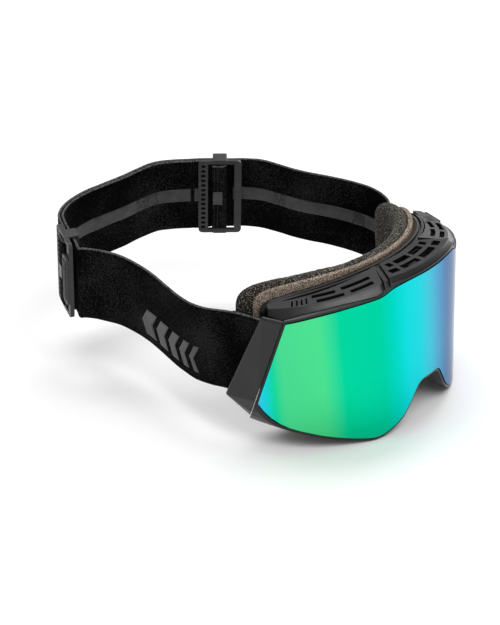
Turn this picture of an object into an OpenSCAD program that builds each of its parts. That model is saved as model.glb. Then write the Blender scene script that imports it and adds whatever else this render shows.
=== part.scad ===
// Motorcycle goggles: cylindrical magnetic lens, vented frame, layered face foam and a
// two-slider elastic strap. Millimetres, +Z up, the lens looks along -Y, +X is the
// wearer's left. The origin is the middle of the foam's face side.

/* [Lens] */
// Radius of the outer face of the cylindrical lens
lens_r = 95.5; // [94.5:0.5:96.5]
// Height of the lens at its middle, above its lowest points
lens_h = 95; // [94:0.5:96]
// Thickness of the mirrored outer lens
lens_t = 1.4; // [1.2:0.1:1.5]
// Thickness of the gasket between the two lenses
gasket_t = 2.6; // [2.4:0.1:2.8]
// Thickness of the clear inner lens
inner_lens_t = 0.8; // [0.7:0.1:0.9]
// Gap between the lens stack and the frame
lens_gap = 0.3; // [0.2:0.1:0.4]

/* [Frame] */
// Thickness of the flange that the lens sits against
seat_t = 3.2; // [3:0.1:3.6]
// How far the frame's rim stands out round the lens
rim_w = 1.6; // [1.4:0.1:1.8]
// Depth from the lens's front to the front of the face plate, at the middle
plate_y = 22.5; // [22:0.5:24]
// Radius of the face plate and foam, seen from above
face_r = 95; // [93:1:97]
// Thickness of each of the face plate's two ridges, and of the groove between
ridge_t = 1.4; // [1.2:0.1:1.6]
// Thickness of the moulded top covers
cover_t = 2; // [1.8:0.1:2]

/* [Foam] */
// Thickness of the dark base layer
foam_base_t = 2.2; // [2:0.1:2.4]
// Thickness of the soft middle layer
foam_middle_t = 3.2; // [3:0.1:3.4]
// Thickness of the fleece-faced layer against the skin
foam_face_t = 8.6; // [8.2:0.1:8.8]

/* [Strap] */
// Height of the elastic band
strap_h = 50; // [48:1:50]
// Thickness of one layer of the band
strap_t = 1.6; // [1.4:0.1:1.6]
// Height of the band's middle where it leaves the frame, above the lens's lowest points
strap_z = 54.5; // [54:0.5:55]
// Height of the silicone grip line inside the band
grip_h = 9; // [8:0.5:10]

/* [Sliders] */
// Width of a strap slider along the band
slider_w = 27; // [26:0.5:28]
// Height of a strap slider's barred frame
slider_h = 52.4; // [52.2:0.2:53]
// Width of the slider's ladder bar
ladder_w = 6; // [5.5:0.25:6]
// Number of oval holes in the ladder bar
ladder_holes = 14; // [12:1:14]

/* [Magnets] */
// Radius of each disc magnet
magnet_r = 2.3; // [2:0.1:2.4]

/* [Hidden] */

far = 200;              // longer than any part of the frame
gap = 0.3;              // clearance between neighbouring solids
$fn = 48;
arc_fn = 180;           // facets of the big cylinders

seal_y = plate_y + 3 * ridge_t + foam_base_t + foam_middle_t + foam_face_t;
seal_z = 50;            // height of the origin above the lens's lowest points
face_cy = plate_y + face_r;
r_seat = lens_r - lens_t - gasket_t - inner_lens_t - lens_gap;
r_back = r_seat - seat_t;
rim_r = lens_r - 0.6;

// Half outlines seen from the front, as [x, z], from the top middle to the nose.
lens_half = [[0, lens_h], [20, lens_h - 0.2], [32, lens_h - 1.8], [39, lens_h - 5.6],
    [57, lens_h - 7.8], [72, lens_h - 11.6], [82, lens_h - 15.8], [98, lens_h - 22],
    [98, 60], [84.4, 15], [67, 7], [53, 3], [40, 0], [24, 7.6], [10.5, 27], [0, 27]];
tube_half = [[0, 94], [20, 93.6], [32, 92], [39, 88.2], [57, 86], [72, 82.2], [77, 79],
    [77, 32], [73, 18], [66, 9], [53, 5], [40, 2.2], [25.5, 9.5], [12, 29.5], [0, 29.5]];
plate_half = [[0, 97.5], [30, 96.4], [52, 93.4], [68, 89.8], [79, 85], [78, 70],
    [77, 32], [73, 17], [62, 7.5], [42, 2.5], [27, 9.5], [14, 30], [0, 33]];
middle_half = [[0, 98.6], [30, 98.2], [56, 96.6], [73, 93.2], [80.8, 88.6], [82, 77], [80.6, 50],
    [79.2, 31], [75, 15.4], [63.2, 5.5], [42, 0.3], [25.6, 7.8], [12.6, 28.6], [0, 31]];
fleece_half = [[0, 97.4], [30, 97.4], [58, 96.8], [76, 94.2], [85.6, 89], [87.6, 77], [85.5, 50],
    [81.4, 31], [76.8, 14], [64.2, 3.6], [42, -1.6], [24.4, 6.4], [11.2, 27.4], [0, 29.4]];

function unit(v) = v / norm(v);
function both_sides(h) = concat(h, [for (i = [len(h) - 2:-1:1]) [-h[i].x, h[i].y]]);
function left_of(v) = [-v.y, v.x];
// Moves every edge of a clockwise outline outwards by d.
function grow(p, d) = let (n = len(p)) [for (i = [0:n - 1])
    let (a = left_of(unit(p[i] - p[(i + n - 1) % n])),
         b = left_of(unit(p[(i + 1) % n] - p[i])))
    p[i] + d * (a + b) / (1 + a * b)];
// Rounds every corner of an outline with a curve that starts up to r from the corner.
function rounded(p, r, steps = 4) = let (n = len(p)) [for (i = [0:n - 1])
    let (a = p[(i + n - 1) % n] - p[i], b = p[(i + 1) % n] - p[i],
         turn = acos(max(-1, min(1, -unit(a) * unit(b)))),
         t = min(r, 0.45 * norm(a), 0.45 * norm(b)))
    each turn < 2 ? [p[i]] : [for (k = [0:steps]) let (s = k / steps)
        p[i] + (1 - s) * (1 - s) * t * unit(a) + s * s * t * unit(b)]];
function narrowed(p, k) = [for (q = p) [q.x * k, q.y]];
function on_arc(r, a) = [r * sin(a), -r * cos(a)];

module placed() translate([0, -seal_y, -seal_z]) children();
module right_and_left() { children(); mirror([1, 0, 0]) children(); }

// An outline seen from the front, extruded along Y.
module prism(outline, y0 = -far / 4, y1 = far / 2)
    translate([0, y1, 0]) rotate([90, 0, 0]) linear_extrude(y1 - y0) polygon(outline);

module lens_cylinder(r)
    translate([0, lens_r, -far / 4]) cylinder(r = r, h = far, $fn = arc_fn);
module face_cylinder(r)
    translate([0, face_cy, -far / 4]) cylinder(r = r, h = far, $fn = arc_fn);

// The slanted side edge of the lens: two points on it, as angle round the lens and height.
edge_top = [58.8, 79.1];
edge_low = [68.3, 29];
function lens_point(a, z, r = lens_r) = [r * sin(a), lens_r - r * cos(a), z];
edge_a = lens_point(edge_top[0], edge_top[1]);
edge_b = lens_point(edge_low[0], edge_low[1]);
edge_mid = (edge_a + edge_b) / 2;
edge_radial = lens_point((edge_top[0] + edge_low[0]) / 2, 0, 1) - [0, lens_r, 0];
edge_z = unit(edge_a - edge_b);
edge_x = unit(cross(edge_radial, edge_z)) * -1;
edge_y = cross(edge_z, edge_x);
// Everything beyond the lens's side edge by more than g, on the wearer's left.
module beyond_edge(g)
    multmatrix([[edge_x.x, edge_y.x, edge_z.x, edge_mid.x],
                [edge_x.y, edge_y.y, edge_z.y, edge_mid.y],
                [edge_x.z, edge_y.z, edge_z.z, edge_mid.z]])
        translate([g, -far / 2, -far / 2]) cube(far);

// A piece of cylindrical shell with the lens's outline, grown by g.
module lens_blank(g, r_out, r_in)
    difference() {
        intersection() {
            prism(rounded(grow(both_sides(lens_half), g), 8), y1 = lens_r * 0.9);
            lens_cylinder(r_out);
        }
        if (r_in > 0) lens_cylinder(r_in);
        right_and_left() beyond_edge(g);
    }

// Magnets: angle round the lens and height, on the wearer's left.
magnet_spots = [[14, 90], [42, 81.2], [59.5, 22], [30, 6.6]];
module at_magnets(r)
    right_and_left() for (m = magnet_spots)
        translate([0, lens_r, m[1]]) rotate([0, 0, m[0]]) translate([0, -r, 0])
            rotate([-90, 0, 0]) children();

// ---------- frame ----------
opening_w = 8;          // width of the flange that the lens sits against
tube_wall = 2.2;
frame_magnet_t = 2.2;
// Vent openings in the frame's top wall, as [x from, x to].
top_vents = [[4, 18], [40, 53], [56, 68]];
vent_edge = 2;          // wall left in front of and behind each vent
module vent_blocks(inset)
    difference() {
        intersection() {
            right_and_left() for (v = top_vents)
                translate([v[0] + inset, 0, 70]) cube([v[1] - v[0] - 2 * inset, far / 2, 40]);
            lens_cylinder(r_back - vent_edge - inset);
        }
        face_cylinder(face_r + vent_edge + inset);
    }

module frame_chassis() color("#2c2d2e") placed()
    difference() {
        union() {
            lens_blank(rim_w, rim_r, r_back);
            difference() {
                intersection() {
                    prism(rounded(both_sides(tube_half), 6), y1 = face_cy * 0.7);
                    lens_cylinder(r_back + 0.6);
                }
                prism(rounded(grow(both_sides(tube_half), -tube_wall), 6));
                face_cylinder(face_r);
            }
        }
        lens_blank(lens_gap, lens_r + 5, r_seat);
        lens_blank(-opening_w, lens_r + 5, 0);
        at_magnets(r_seat + 0.1) cylinder(r = magnet_r + 0.05, h = frame_magnet_t + 0.1);
        vent_blocks(0);
    }

module frame_magnets() color("silver") placed()
    at_magnets(r_seat) cylinder(r = magnet_r, h = frame_magnet_t);

// Foam blocks in the vent openings of the top wall.
module top_vent_foam() color("#1a1a1a") placed()
    intersection() {
        difference() {
            prism(rounded(grow(both_sides(tube_half), -0.3), 6));
            prism(rounded(grow(both_sides(tube_half), -tube_wall), 6));
        }
        vent_blocks(gap);
    }

// The brow's plates: each is a thin slab with a slanted facet round its front, and near the
// front a skirt reaches down to the frame's rim.
skirt_r = lens_r - 3.6;
facet_spread = 1.2;     // how far the facet runs forwards for each millimetre that it falls
plate_depth = 6.5;
module faceted(top_r, t)
    difference() {
        translate([0, 0, -plate_depth])
            cylinder(r1 = top_r + facet_spread * plate_depth, r2 = top_r, h = plate_depth, $fn = arc_fn);
        translate([0, 0, -far - t]) cylinder(r = skirt_r, h = far, $fn = arc_fn);
    }
module above_rim() prism(rounded(grow(both_sides(lens_half), rim_w + gap), 8));
module arc_slot(r, a0, a1, w)
    translate([0, lens_r, 0]) rotate([0, 0, a0 - 90])
        rotate_extrude(angle = a1 - a0, $fn = arc_fn) translate([r - w / 2, -20]) square([w, 40]);

// Centre visor, with two rows of windows.
visor_r = lens_r - 0.4;
visor_a = 21;           // half angle of the visor's front edge
visor_back_x = 19.5;    // half width at the back
visor_back_y = plate_y - 0.5;
visor_z = lens_h + 3.9;
visor_t = 2;
visor_top_r = lens_r - 3.4;
// Windows: radius of the row, and the angles that each runs between.
windows = [[86.6, -17.2, -12.8], [86.6, -11, -1], [86.6, 1, 11], [86.6, 12.8, 17.2],
    [79.4, -14.4, -11.6], [79.4, -9.8, -1], [79.4, 1, 9.8], [79.4, 11.6, 14.4]];
window_w = 4.4;

module visor_plan() {
    front = [for (k = [-12:12]) on_arc(visor_r, visor_a * k / 12) + [0, lens_r]];
    polygon(concat(front, [[visor_back_x, visor_back_y + 1.8], [0, visor_back_y],
        [-visor_back_x, visor_back_y + 1.8]]));
}

module brow_visor() color("#262627") placed()
    difference() {
        intersection() {
            translate([0, 0, lens_h / 2]) linear_extrude(lens_h) visor_plan();
            translate([0, lens_r, visor_z]) faceted(visor_top_r, visor_t);
        }
        above_rim();
        for (w = windows) translate([0, 0, 90]) arc_slot(w[0], w[1], w[2], window_w);
    }

// Side covers: they fall away outwards, with long slots and short ribs.
cover_tilt = 12.5;
cover_x = 35;           // where the cover's top is cover_z high
cover_z = lens_h + 1.3;
cover_top_r = lens_r - 4.3;
notch_x = [38.2, 23.6]; // the cover's edge beside the visor, at its front and back
cover_front_r = lens_r - 0.3;
cover_back_r = face_r + 0.8;
cover_last = 58.6;      // angle where the front edge ends
cover_back_last = 54.2; // and the back edge
cover_corner = [83.2, 56.5];
// Slots: radius, and the angles that they run between.
slots = [[82.3, 39.5, 49], [81.6, 24.5, 37], [87.2, 37, 47.5], [87, 25, 34.5]];
slot_w = 2.8;
rib_slots = [[85.6, 51.2], [86, 53], [86.3, 54.8], [86.6, 56.6]];

module cover_plan() {
    first = asin(notch_x[0] / cover_front_r);
    front = [for (k = [0:12]) on_arc(cover_front_r, first + (cover_last - first) * k / 12)
        + [0, lens_r]];
    a0 = asin(notch_x[1] / cover_back_r);
    back = [for (k = [0:12])
        on_arc(cover_back_r, cover_back_last + (a0 - cover_back_last) * k / 12) + [0, face_cy]];
    polygon(concat(front, [cover_corner], back));
}

module cover()
    difference() {
        intersection() {
            translate([0, 0, lens_h / 2]) linear_extrude(lens_h) cover_plan();
            translate([cover_x, 0, cover_z]) rotate([0, cover_tilt, 0])
                translate([-cover_x / cos(cover_tilt), lens_r, 0]) faceted(cover_top_r, cover_t);
        }
        above_rim();
        for (s = slots) translate([0, 0, 90]) arc_slot(s[0], s[1], s[2], slot_w);
        for (s = rib_slots) translate([0, lens_r, 60]) rotate([0, 0, s[1]])
            translate([-0.5, -s[0] - 2.6, 0]) cube([1, 5.2, 40]);
    }

module brow_cover_left() color("#2a2b2c") placed() cover();
module brow_cover_right() color("#2a2b2c") placed() mirror([1, 0, 0]) cover();

// Gussets: raised wedges in the V between the visor and each cover.
gusset_z = lens_h + 2.6;
module gusset()
    difference() {
        intersection() {
            translate([0, 0, lens_h / 2]) linear_extrude(gusset_z - lens_h / 2)
                polygon([[34.9, 6.6], [37.7, 8], [23.4, 24.1], [20.6, 22.7]]);
            translate([0, lens_r, gusset_z - plate_depth]) cylinder($fn = arc_fn, h = plate_depth,
                r1 = visor_top_r + facet_spread * plate_depth, r2 = visor_top_r);
        }
        above_rim();
    }
module brow_gusset_left() color("#3a3b3d") placed() gusset();
module brow_gusset_right() color("#3a3b3d") placed() mirror([1, 0, 0]) gusset();

// ---------- face side ----------
plate_w = 7;            // width of the face plate's ring
temple_a = 67.2;        // angle where the fleece ends at each temple
// A ring of cylindrical shell about the face axis, between two outlines.
module face_ring(r_out, r_in, outer, inner) {
    k = (r_out + r_in) / 2 / face_r;
    difference() {
        intersection() {
            prism(rounded(narrowed(outer, k), 9), y1 = face_cy * 0.75);
            face_cylinder(r_out);
        }
        face_cylinder(r_in);
        prism(rounded(narrowed(inner, k), 12));
    }
}
// Everything past an angle round the face axis, on the wearer's left.
module past_angle(a)
    translate([0, face_cy, 0]) rotate([0, 0, a]) translate([0, -far, -far / 4]) cube(far);
plate = both_sides(plate_half);
r_ridge = face_r - ridge_t;
r_groove = r_ridge - ridge_t;
r_base = r_groove - ridge_t;
r_middle = r_base - foam_base_t;
r_face = r_middle - foam_middle_t;

module face_plate() color("#1f2021") placed() {
    face_ring(face_r, r_ridge, plate, grow(plate, -plate_w));
    face_ring(r_ridge, r_groove, grow(plate, -1.8), grow(plate, -plate_w));
    face_ring(r_groove, r_base, plate, grow(plate, -plate_w));
}

module foam_base() color("#3b2f28") placed()
    face_ring(r_base, r_middle, grow(plate, 0.6), grow(plate, -plate_w));
module foam_middle() color("#8a7a6c") placed()
    face_ring(r_middle, r_face, both_sides(middle_half), grow(plate, -plate_w - 1));
module foam_face() color("#33302b") placed()
    difference() {
        face_ring(r_face, r_face - foam_face_t, both_sides(fleece_half), grow(plate, -plate_w - 2));
        right_and_left() past_angle(temple_a);
    }

// Nose bridge: a soft flap that closes the frame's nose arch inside the tube.
module nose_bridge() color("#202021") placed()
    difference() {
        intersection() {
            prism(rounded([[-15.5, 31], [-9.5, 41], [9.5, 41], [15.5, 31], [0, 31.7]], 3));
            lens_cylinder(r_back - gap);
        }
        face_cylinder(face_r + gap);
        prism(rounded([[-13, 28], [-8.5, 38.6], [8.5, 38.6], [13, 28]], 3));
        prism(rounded(grow(both_sides(tube_half), gap), 6), y0 = 300, y1 = 301);
    }

// ---------- outriggers ----------
// The side panel's corners, as ball centres, on the wearer's left.
panel_ball = 1.6;
panel_low = [[83.6, 56, 15], [82.4, 69, 16.8]];
panel_top = [[82.6, 44, 80.3], [86.6, 57.6, 81.8], [88.9, 80.6, 29.4], [88.6, 60, 30]];
strap_x = 83.2;         // the band's middle where it leaves the frame
screw_spots = [[68.5, 45], [60.5, 64]];  // y and z

module panel()
    difference() {
        intersection() {
            union() {
                hull() for (p = panel_top) translate(p) sphere(panel_ball, $fn = 24);
                hull() for (p = concat(panel_low, [panel_top[2], panel_top[3]]))
                    translate(p) sphere(panel_ball, $fn = 24);
            }
            beyond_edge(rim_w + gap);
        }
        for (s = screw_spots) translate([80, s[0], s[1]]) rotate([0, 90, 0])
            cylinder(r = 1.2, h = 8.4);
    }
module side_panel_left() color("#313234") placed() panel();
module side_panel_right() color("#313234") placed() mirror([1, 0, 0]) panel();

anchor_x = strap_x - strap_t / 2 - gap;  // outer face of the clamp
anchor_t = 2;
module anchor()
    intersection() {
        difference() {
            translate([anchor_x, 0, 0]) rotate([0, -90, 0])
                linear_extrude(anchor_t) union() {
                    polygon(rounded([[78, 50], [78, 84.5], [31, 84.5], [31, 66], [50, 58]], 3));
                    // a lip that the band's lower edge rests beside
                    polygon(rounded([[36, 80], [33.4, 94.5], [27.4, 95], [27.4, 84], [33, 76]], 2));
                }
            for (s = screw_spots) translate([60, s[0], s[1]]) rotate([0, 90, 0])
                cylinder(r = 1.5, h = 30);
        }
        beyond_edge(rim_w + gap);
    }
module strap_anchor_left() color("#242526") placed() anchor();
module strap_anchor_right() color("#242526") placed() mirror([1, 0, 0]) anchor();

module anchor_screws() color("#6e7073") placed() right_and_left()
    for (s = screw_spots) translate([anchor_x - anchor_t - 1.2, s[0], s[1]])
        rotate([0, 90, 0]) {
            difference() {
                cylinder(r = 2.4, h = 1.2);
                translate([0, 0, -1]) cylinder(r = 1, h = 1.7, $fn = 6);
            }
            cylinder(r = 1.15, h = 87.6 - anchor_x + anchor_t + 1.2);
        }

// ---------- lens ----------
module outer_lens() color("#18c7a0") placed() lens_blank(0, lens_r, lens_r - lens_t);
r_gasket = lens_r - lens_t;
r_inner = r_gasket - gasket_t;
module lens_gasket() color("#151515") placed()
    difference() {
        lens_blank(-0.6, r_gasket, r_inner);
        lens_blank(-7.6, lens_r + 5, 0);
        at_magnets(r_gasket + 1) cylinder(r = magnet_r + 0.1, h = gasket_t + 2);
    }
module inner_lens() color("#9fb8b4", 0.5) placed()
    lens_blank(-0.8, r_inner, r_inner - inner_lens_t);
module lens_magnets() color("silver") placed()
    at_magnets(r_gasket - 0.15) cylinder(r = magnet_r, h = gasket_t - 0.3);

// ---------- strap ----------
// The band rises towards the back and to the wearer's left, like a loop laid a little askew.
rise_x = 0.1;
rise_y = 0.1;
rise_from = 75;
rise_to = 135;
function ramp(t) = let (u = max(0, min(1, t))) u * u * (3 - 2 * u);
function rise(y) = ramp((y - rise_from) / (rise_to - rise_from));
function band_z(p) = strap_z + rise(p.y) * (rise_x * p.x + rise_y * (p.y - rise_from));
function band_up(p) = unit([-rise(p.y) * rise_x, -rise(p.y) * rise_y, 1]);

// Plan routes, from the frame's right anchor round the back to its left anchor.
side_mid = [-63.5, 215];
side_dir = unit([0.58, 0.81]);
rear_mid = [60.5, 194];
rear_dir = unit([0.6, -0.8]);
function run(mid, dir, list) = [for (d = list) mid + d * dir];
route_a = [[-83.2, 59], [-83.2, 67], [-83.2, 75], [-83.8, 83], [-84.2, 96], [-82.4, 109], [-78.2, 122],
    [-73.2, 136], [-68.4, 150], [-65.4, 163], [-64.4, 176], [-66.4, 188], [-70.4, 198]];
route_b = [[-48, 234.5], [-37, 238.4], [-23, 238.6], [-8, 235], [8, 230.4], [23, 227.4],
    [34, 223.4], [42, 216.6]];
route_c = [[74.8, 171.6], [76.6, 160], [78.2, 147], [81.6, 134], [86.8, 123], [92.4, 113.5],
    [96.4, 105.8], [97.6, 98.4], [95.6, 91.8], [91, 86.4], [86.5, 81.8], [83.8, 77], [83.2, 72],
    [83.2, 67], [83.2, 59]];
ahead = [-16, -8, 8, 16];
whole_route = concat(route_a, run(side_mid, side_dir, ahead), route_b,
    run(rear_mid, rear_dir, ahead), route_c);
side_i = len(route_a) + 1;
rear_i = len(route_a) + 4 + len(route_b) + 1;

function spline(a, b, c, d, t) = 0.5 * (2 * b + (c - a) * t
    + (2 * a - 5 * b + 4 * c - d) * t * t + (3 * b - a - 3 * c + d) * t * t * t);
// The smooth route between control points i0 and i1, n steps to each.
function smooth(p, i0, i1, n) = let (m = len(p) - 1)
    [for (i = [i0:i1 - 1]) for (k = [0:n - 1])
        spline(p[max(i - 1, 0)], p[i], p[i + 1], p[min(i + 2, m)], k / n), p[i1]];
function heading(p, i) = unit(p[min(i + 1, len(p) - 1)] - p[max(i - 1, 0)]);

// One cross-section of a band: its four corners, inner bottom first.
function section(p, dir, off, t, h, skew) =
    let (up = band_up(p),
         along = unit([dir.x, dir.y, -(up.x * dir.x + up.y * dir.y) / up.z]),
         out = unit(cross(up, along)),
         c = [p.x, p.y, band_z(p)])
    [for (q = [[-1, -1], [1, -1], [1, 1], [-1, 1]])
        c + (off + q[0] * t / 2) * out + (q[1] * h / 2) * up - [0, q[1] * skew, 0]];

// A flat band along a route; off lists how far outwards each cross-section lies, and skew
// slants the first or last end, fading out over the next few sections.
skew_fade = 9;
module band(p, off, t, h, skew_first = 0, skew_last = 0) {
    n = len(p);
    rings = [for (i = [0:n - 1]) section(p[i], heading(p, i), off[i], t, h,
        skew_first * (1 - ramp(i / skew_fade)) + skew_last * (1 - ramp((n - 1 - i) / skew_fade)))];
    points = [for (r = rings) each r];
    walls = [for (i = [0:n - 2]) for (k = [0:3]) let (a = 4 * i + k, b = 4 * i + (k + 1) % 4)
        each [[a, a + 4, b], [b, a + 4, b + 4]]];
    last = 4 * (n - 1);
    ends = [[0, 1, 2], [0, 2, 3], [last, last + 2, last + 1], [last, last + 3, last + 2]];
    polyhedron(points, concat(walls, ends));
}

layer = 1.1;            // how far each layer lies from the route's middle
end_skew = 11;          // slant of the band's ends under the side panels
steps = 4;              // cross-sections to each control point
module strap_holes() for (side = [-1, 1]) for (s = screw_spots)
    translate([side * strap_x, s[0], s[1]]) rotate([0, 90, 0])
        cylinder(r = 1.7, h = 12, center = true);

// Each half of the band runs from its anchor, through one slider, to the other slider,
// so the two halves lie on each other between the sliders.
right_route = smooth(whole_route, 1, rear_i - 1, steps);
left_route = smooth(whole_route, side_i + 2, len(whole_route) - 2, steps);
right_off = [for (i = [0:len(right_route) - 1]) -layer * ramp((i - 20) / 20)];
left_off = [for (i = [0:len(left_route) - 1]) let (k = len(left_route) - 1 - i)
    layer * ramp((k - 20) / 16)];

module strap_right() color("#111112") placed()
    difference() {
        band(right_route, right_off, strap_t, strap_h, end_skew, 0);
        strap_holes();
    }
module strap_left() color("#111112") placed()
    difference() {
        band(left_route, left_off, strap_t, strap_h, 0, end_skew);
        strap_holes();
    }

// Silicone lines on the inner face of each half.
grip_t = 0.4;
function part_of(list, a, b) = [for (i = [a:b]) list[i]];
function inwards(list, a, b) = [for (i = [a:b]) list[i] - (strap_t + grip_t) / 2];
grip_a = [16, len(right_route) - 2];
grip_b = [(rear_i - side_i) * steps, len(left_route) - 16];
module grip_right() color("#3c3c3e") placed()
    band(part_of(right_route, grip_a[0], grip_a[1]),
        inwards(right_off, grip_a[0], grip_a[1]), grip_t, grip_h);
module grip_left() color("#3c3c3e") placed()
    band(part_of(left_route, grip_b[0], grip_b[1]),
        inwards(left_off, grip_b[0], grip_b[1]), grip_t, grip_h);

// ---------- sliders ----------
// In a slider's own frame X runs along the band, Y outwards and Z up.
module at_slider(mid, dir) {
    up = band_up(mid);
    along = unit([dir.x, dir.y, -(up.x * dir.x + up.y * dir.y) / up.z]);
    out = cross(up, along);
    multmatrix([[along.x, out.x, up.x, mid.x],
                [along.y, out.y, up.y, mid.y],
                [along.z, out.z, up.z, band_z(mid)]]) children();
}
module at_rear() placed() at_slider(rear_mid, rear_dir) children();
// The side slider faces the other way, with its bars outside the band.
module at_side() placed() at_slider(side_mid, side_dir) rotate([0, 0, 180]) children();

bar_y = [-4.8, -2.3];   // the barred frame, on one side of the band
bridge_y = [2.3, 4.3];  // the bridge on its other side
rail_in = slider_h / 2 - 2.3;   // the frame's inner edges, above and below
post_z = strap_h / 2 + 0.4;     // the posts beside the band that carry the bridge
post_t = 1.3;
plain_w = 4.5;
hole_w = 3;
hole_h = 2.1;
pin_at = [1.4, -3.25];  // centre of the bar that the band's end is folded round
pin_r = 1.2;
bridge_w = 9;
end_h = 2 * rail_in - 0.8;      // the band's folded end is a little narrower than the window

function round_plate(w, h, r) = rounded([[-w / 2, -h / 2], [-w / 2, h / 2], [w / 2, h / 2],
    [w / 2, -h / 2]], r);
module slider() {
    pitch = 2 * rail_in / ladder_holes;
    difference() {
        union() {
            translate([0, bar_y[1], 0]) rotate([90, 0, 0])
                linear_extrude(bar_y[1] - bar_y[0]) polygon(round_plate(slider_w, slider_h, 3));
            translate([0, bridge_y[1], 0]) rotate([90, 0, 0]) linear_extrude(bridge_y[1] - bar_y[0])
                polygon(round_plate(bridge_w, 2 * (post_z + post_t), 1));
        }
        // the way through for the band
        translate([-slider_w, bar_y[1], -post_z])
            cube([2 * slider_w, bridge_y[0] - bar_y[1], 2 * post_z]);
        // the window between the ladder and the plain bar
        translate([ladder_w - slider_w / 2, bar_y[0] - 1, -rail_in])
            cube([slider_w - ladder_w - plain_w, bar_y[1] - bar_y[0] + 2, 2 * rail_in]);
        for (i = [0:ladder_holes - 1])
            translate([(ladder_w - slider_w) / 2, 0, (i + 0.5) * pitch - rail_in])
                rotate([90, 0, 0]) linear_extrude(10) union() {
                    square([hole_w - hole_h, hole_h], center = true);
                    for (side = [-1, 1]) translate([side * (hole_w - hole_h) / 2, 0])
                        circle(r = hole_h / 2, $fn = 24);
                }
    }
    translate([pin_at[0], pin_at[1], -rail_in - 0.5]) cylinder(r = pin_r, h = 2 * rail_in + 1);
}

// A ribbed thumb tab, with its foot on the plane y = 0 and standing out along Y.
tab_w = 8.6;
tab_h = 34;
tab_t = 1.8;
module slider_tab() {
    translate([0, tab_t, 0]) rotate([90, 0, 0]) linear_extrude(tab_t)
        polygon(round_plate(tab_w, tab_h, 3));
    for (z = [-13:2:13]) translate([-tab_w / 2 + 1.2, tab_t - 0.2, z - 0.5])
        cube([tab_w - 2.4, 0.8, 1]);
}

// The end of a half band, folded round the slider's pin.
module strap_end()
    translate([pin_at[0], pin_at[1], -end_h / 2]) linear_extrude(end_h) {
        r_in = -layer - strap_t / 2 - pin_at[1];
        difference() {
            union() {
                circle(r = r_in + strap_t, $fn = 48);
                translate([-8.4, r_in]) square([8.4, strap_t]);
                translate([-6.4, -r_in - strap_t]) square([6.4, strap_t]);
            }
            circle(r = r_in, $fn = 48);
            translate([-12, -r_in]) square([12, 2 * r_in]);
        }
    }

module rear_slider() color("#3a3a3b") at_rear() slider();
module rear_slider_tab() color("#303031") at_rear()
    translate([0, bridge_y[1], 0]) slider_tab();
module rear_strap_end() color("#111112") at_rear() strap_end();
module side_slider() color("#3a3a3b") at_side() slider();
module side_slider_tab() color("#303031") at_side()
    translate([(slider_w - tab_w) / 2, bar_y[0], 0]) rotate([0, 0, 180]) slider_tab();
module side_strap_end() color("#111112") at_side() strap_end();

frame_chassis();
brow_visor();
brow_cover_right();
brow_cover_left();
brow_gusset_right();
brow_gusset_left();
top_vent_foam();
face_plate();
nose_bridge();
foam_base();
foam_middle();
foam_face();
frame_magnets();
side_panel_right();
side_panel_left();
strap_anchor_right();
strap_anchor_left();
anchor_screws();
outer_lens();
lens_gasket();
inner_lens();
lens_magnets();
strap_right();
strap_left();
grip_right();
grip_left();
rear_slider();
rear_slider_tab();
rear_strap_end();
side_slider();
side_slider_tab();
side_strap_end();
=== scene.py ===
import math

import bmesh
import bpy
import numpy as np
from mathutils import Matrix, Vector


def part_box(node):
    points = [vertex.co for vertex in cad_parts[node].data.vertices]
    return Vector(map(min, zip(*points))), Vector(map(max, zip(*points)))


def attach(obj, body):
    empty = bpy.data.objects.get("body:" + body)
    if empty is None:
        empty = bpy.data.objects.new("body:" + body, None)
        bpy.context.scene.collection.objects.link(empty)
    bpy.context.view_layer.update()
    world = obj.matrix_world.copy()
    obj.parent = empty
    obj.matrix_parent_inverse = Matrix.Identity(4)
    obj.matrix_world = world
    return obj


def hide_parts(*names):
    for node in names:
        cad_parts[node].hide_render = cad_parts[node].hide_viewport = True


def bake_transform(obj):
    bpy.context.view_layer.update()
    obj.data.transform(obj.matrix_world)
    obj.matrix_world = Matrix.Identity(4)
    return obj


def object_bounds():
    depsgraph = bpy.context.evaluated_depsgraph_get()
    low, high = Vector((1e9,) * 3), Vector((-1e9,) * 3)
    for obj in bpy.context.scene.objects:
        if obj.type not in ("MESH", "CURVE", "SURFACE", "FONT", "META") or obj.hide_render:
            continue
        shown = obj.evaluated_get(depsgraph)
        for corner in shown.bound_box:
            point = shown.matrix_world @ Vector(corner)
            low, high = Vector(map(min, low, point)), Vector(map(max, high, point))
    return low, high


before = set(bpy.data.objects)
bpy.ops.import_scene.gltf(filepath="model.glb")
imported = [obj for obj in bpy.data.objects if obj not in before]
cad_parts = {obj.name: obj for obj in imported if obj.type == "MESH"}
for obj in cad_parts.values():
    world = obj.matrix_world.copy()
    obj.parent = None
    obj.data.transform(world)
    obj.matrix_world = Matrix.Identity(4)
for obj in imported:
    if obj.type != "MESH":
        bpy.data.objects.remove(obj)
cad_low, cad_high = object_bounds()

MM = 0.001

# The design's own origin is the middle of the lens's front, at the height of its lowest
# points. Lists in millimetres below use it, and placed() takes them to the frame.
SEAL = np.array([0.0, 40.7, 50.0])


def placed(points):
    """Points in design millimetres to the frame's metres."""
    return (np.asarray(points, float) - SEAL) * MM


# ---------- small helpers ----------
def unit(v):
    v = np.asarray(v, float)
    return v / np.linalg.norm(v, axis=-1, keepdims=True)


def ramp(t):
    t = np.clip(t, 0.0, 1.0)
    return t * t * (3 - 2 * t)


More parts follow.
